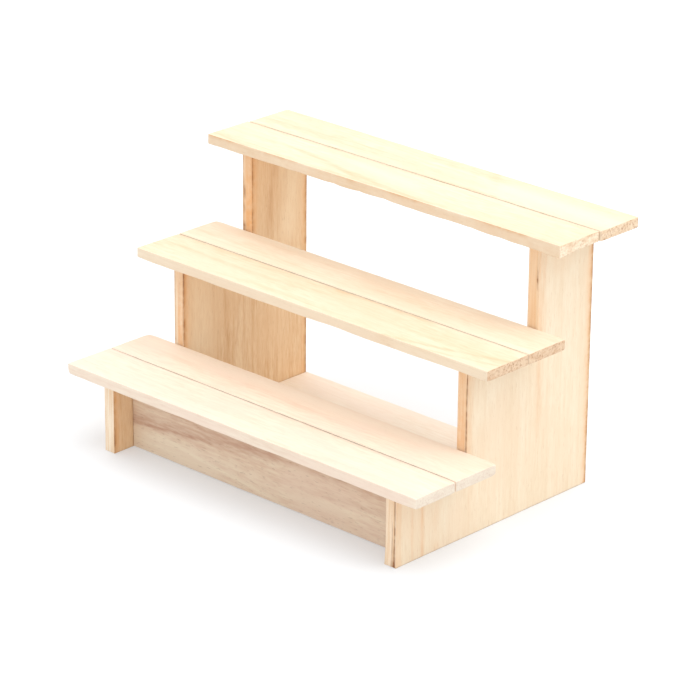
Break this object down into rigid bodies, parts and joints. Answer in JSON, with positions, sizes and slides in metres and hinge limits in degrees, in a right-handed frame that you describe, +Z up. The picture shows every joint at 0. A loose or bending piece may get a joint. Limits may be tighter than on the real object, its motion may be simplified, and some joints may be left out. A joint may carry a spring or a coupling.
{
  "type": "stepped paint rack",
  "caption": "Stepped rack for model paint pots: stair-shaped plywood sides carry slatted shelves, with a board on edge under the front and a flat board at the back.",
  "frame": {"origin": "on the table, at the middle of the rack's footprint", "axes": "+X along the shelves to the viewer's right, +Y from the front of the rack to its back, +Z up"},
  "size_m": [0.1674, 0.1108, 0.1004],
  "materials": {
    "shelf_slat": "unfinished, fine sanded, pale straight grain",
    "plywood_side": "unfinished plywood, vertical grain, cut edges show the plies",
    "cross_board": "unfinished, pinkish brown, flowing grain"
  },
  "bodies": {
    "root": {"lower_shelf_front_slat": "shelf_slat", "lower_shelf_rear_slat": "shelf_slat", "middle_shelf_front_slat": "shelf_slat", "middle_shelf_rear_slat": "shelf_slat", "upper_shelf_front_slat": "shelf_slat", "upper_shelf_rear_slat": "shelf_slat", "left_side": "plywood_side", "right_side": "plywood_side", "front_cross_board": "cross_board", "base_cross_board": "cross_board"}
  },
  "joints": []
}
